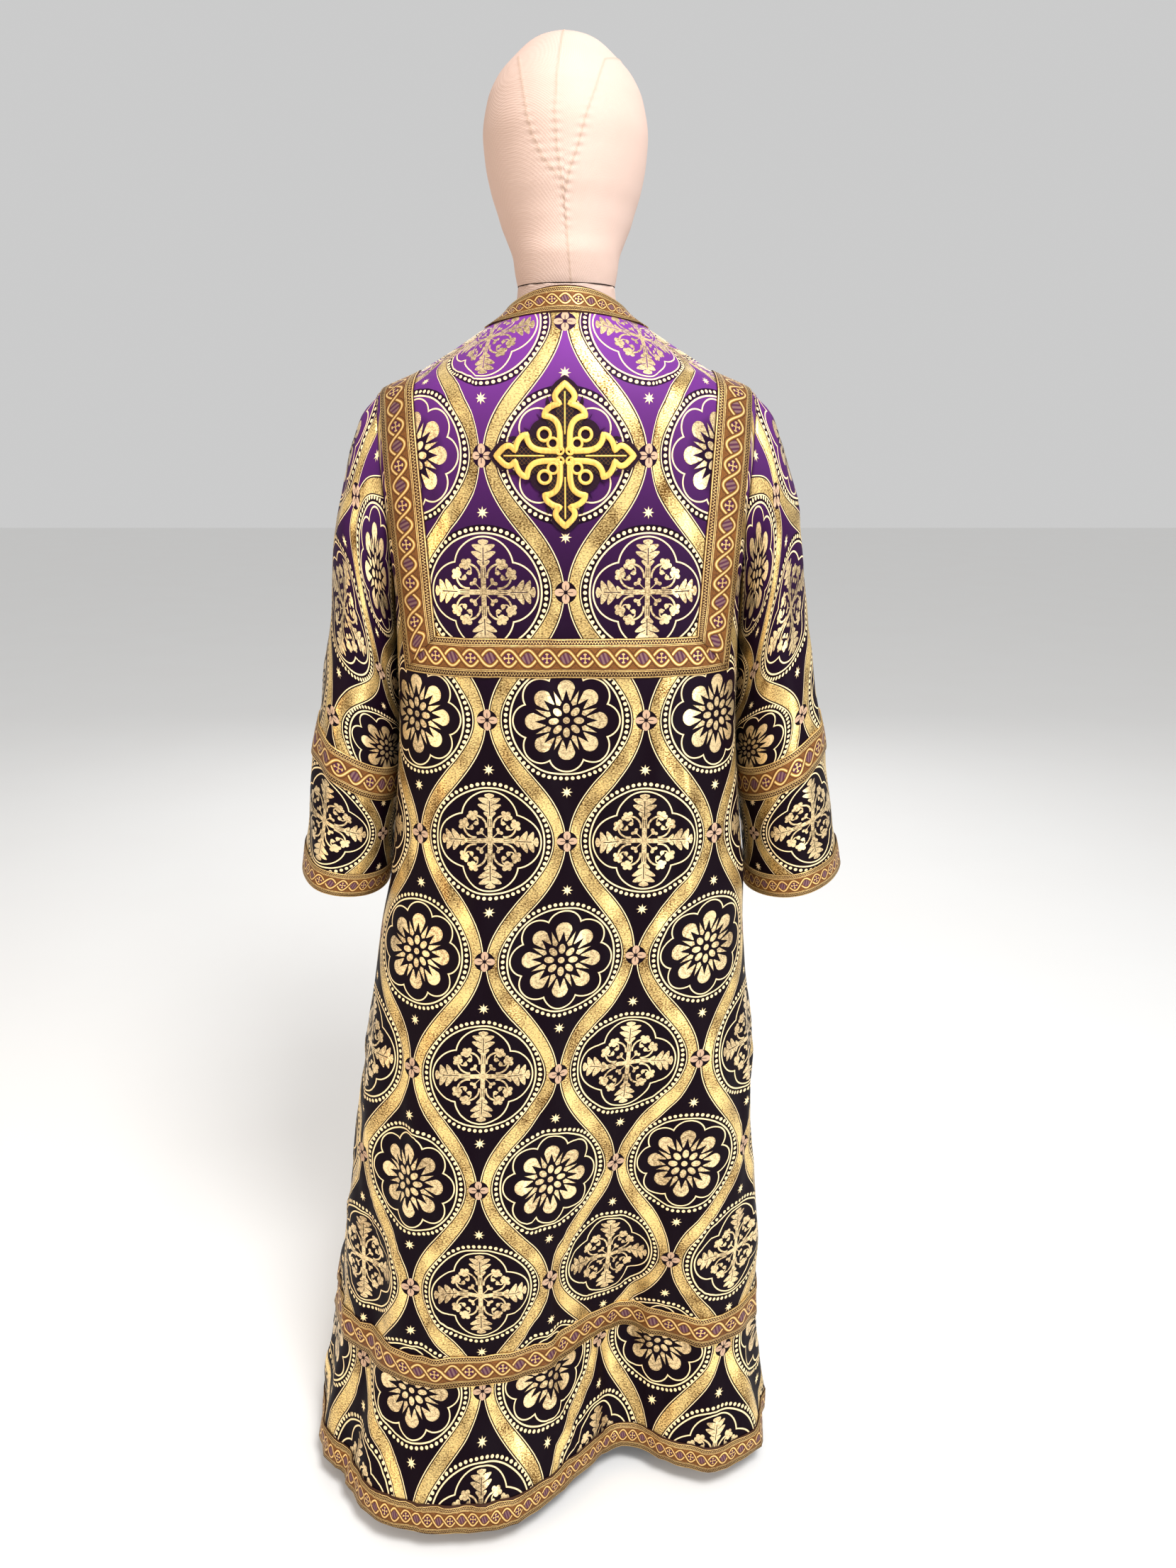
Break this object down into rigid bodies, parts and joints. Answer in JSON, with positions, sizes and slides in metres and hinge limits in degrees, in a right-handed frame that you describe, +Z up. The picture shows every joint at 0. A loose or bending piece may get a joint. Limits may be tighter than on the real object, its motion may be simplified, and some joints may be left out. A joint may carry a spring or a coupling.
{
  "type": "dalmatic on a limbless dress form",
  "caption": "Long wide-sleeved deacon's vestment of patterned brocade with gold bands and a back cross, worn by a padded dress form with an egg-shaped head on a round-footed stand.",
  "frame": {"origin": "middle of the stand's round foot, on the floor", "axes": "+Z up; the garment's back, with its cross, faces -Y; the wearer's right side is at +X"},
  "size_m": [0.6455, 0.4402, 1.6233],
  "materials": {
    "brocade": "purple silk brocade woven with dull gold",
    "galloon": "gold woven galloon",
    "felt": "dark aubergine felt",
    "gold_work": "padded gold thread embroidery",
    "linen": "plain cream linen",
    "painted_steel": "black satin paint"
  },
  "bodies": {
    "root": {"back_panel": "brocade", "front_panel": "brocade", "sleeve_left": "brocade", "sleeve_right": "brocade", "lower_trim": "galloon", "hem_trim": "galloon", "yoke_trim_left": "galloon", "yoke_trim_right": "galloon", "yoke_trim_back": "galloon", "yoke_trim_front": "galloon", "neck_trim": "galloon", "sleeve_trim_left": "galloon", "sleeve_trim_right": "galloon", "cuff_trim_left": "galloon", "cuff_trim_right": "galloon", "cross_felt": "felt", "cross_gold": "gold_work", "form_torso": "linen", "form_head": "linen", "stand_pole": "painted_steel", "stand_foot": "painted_steel"}
  },
  "joints": []
}
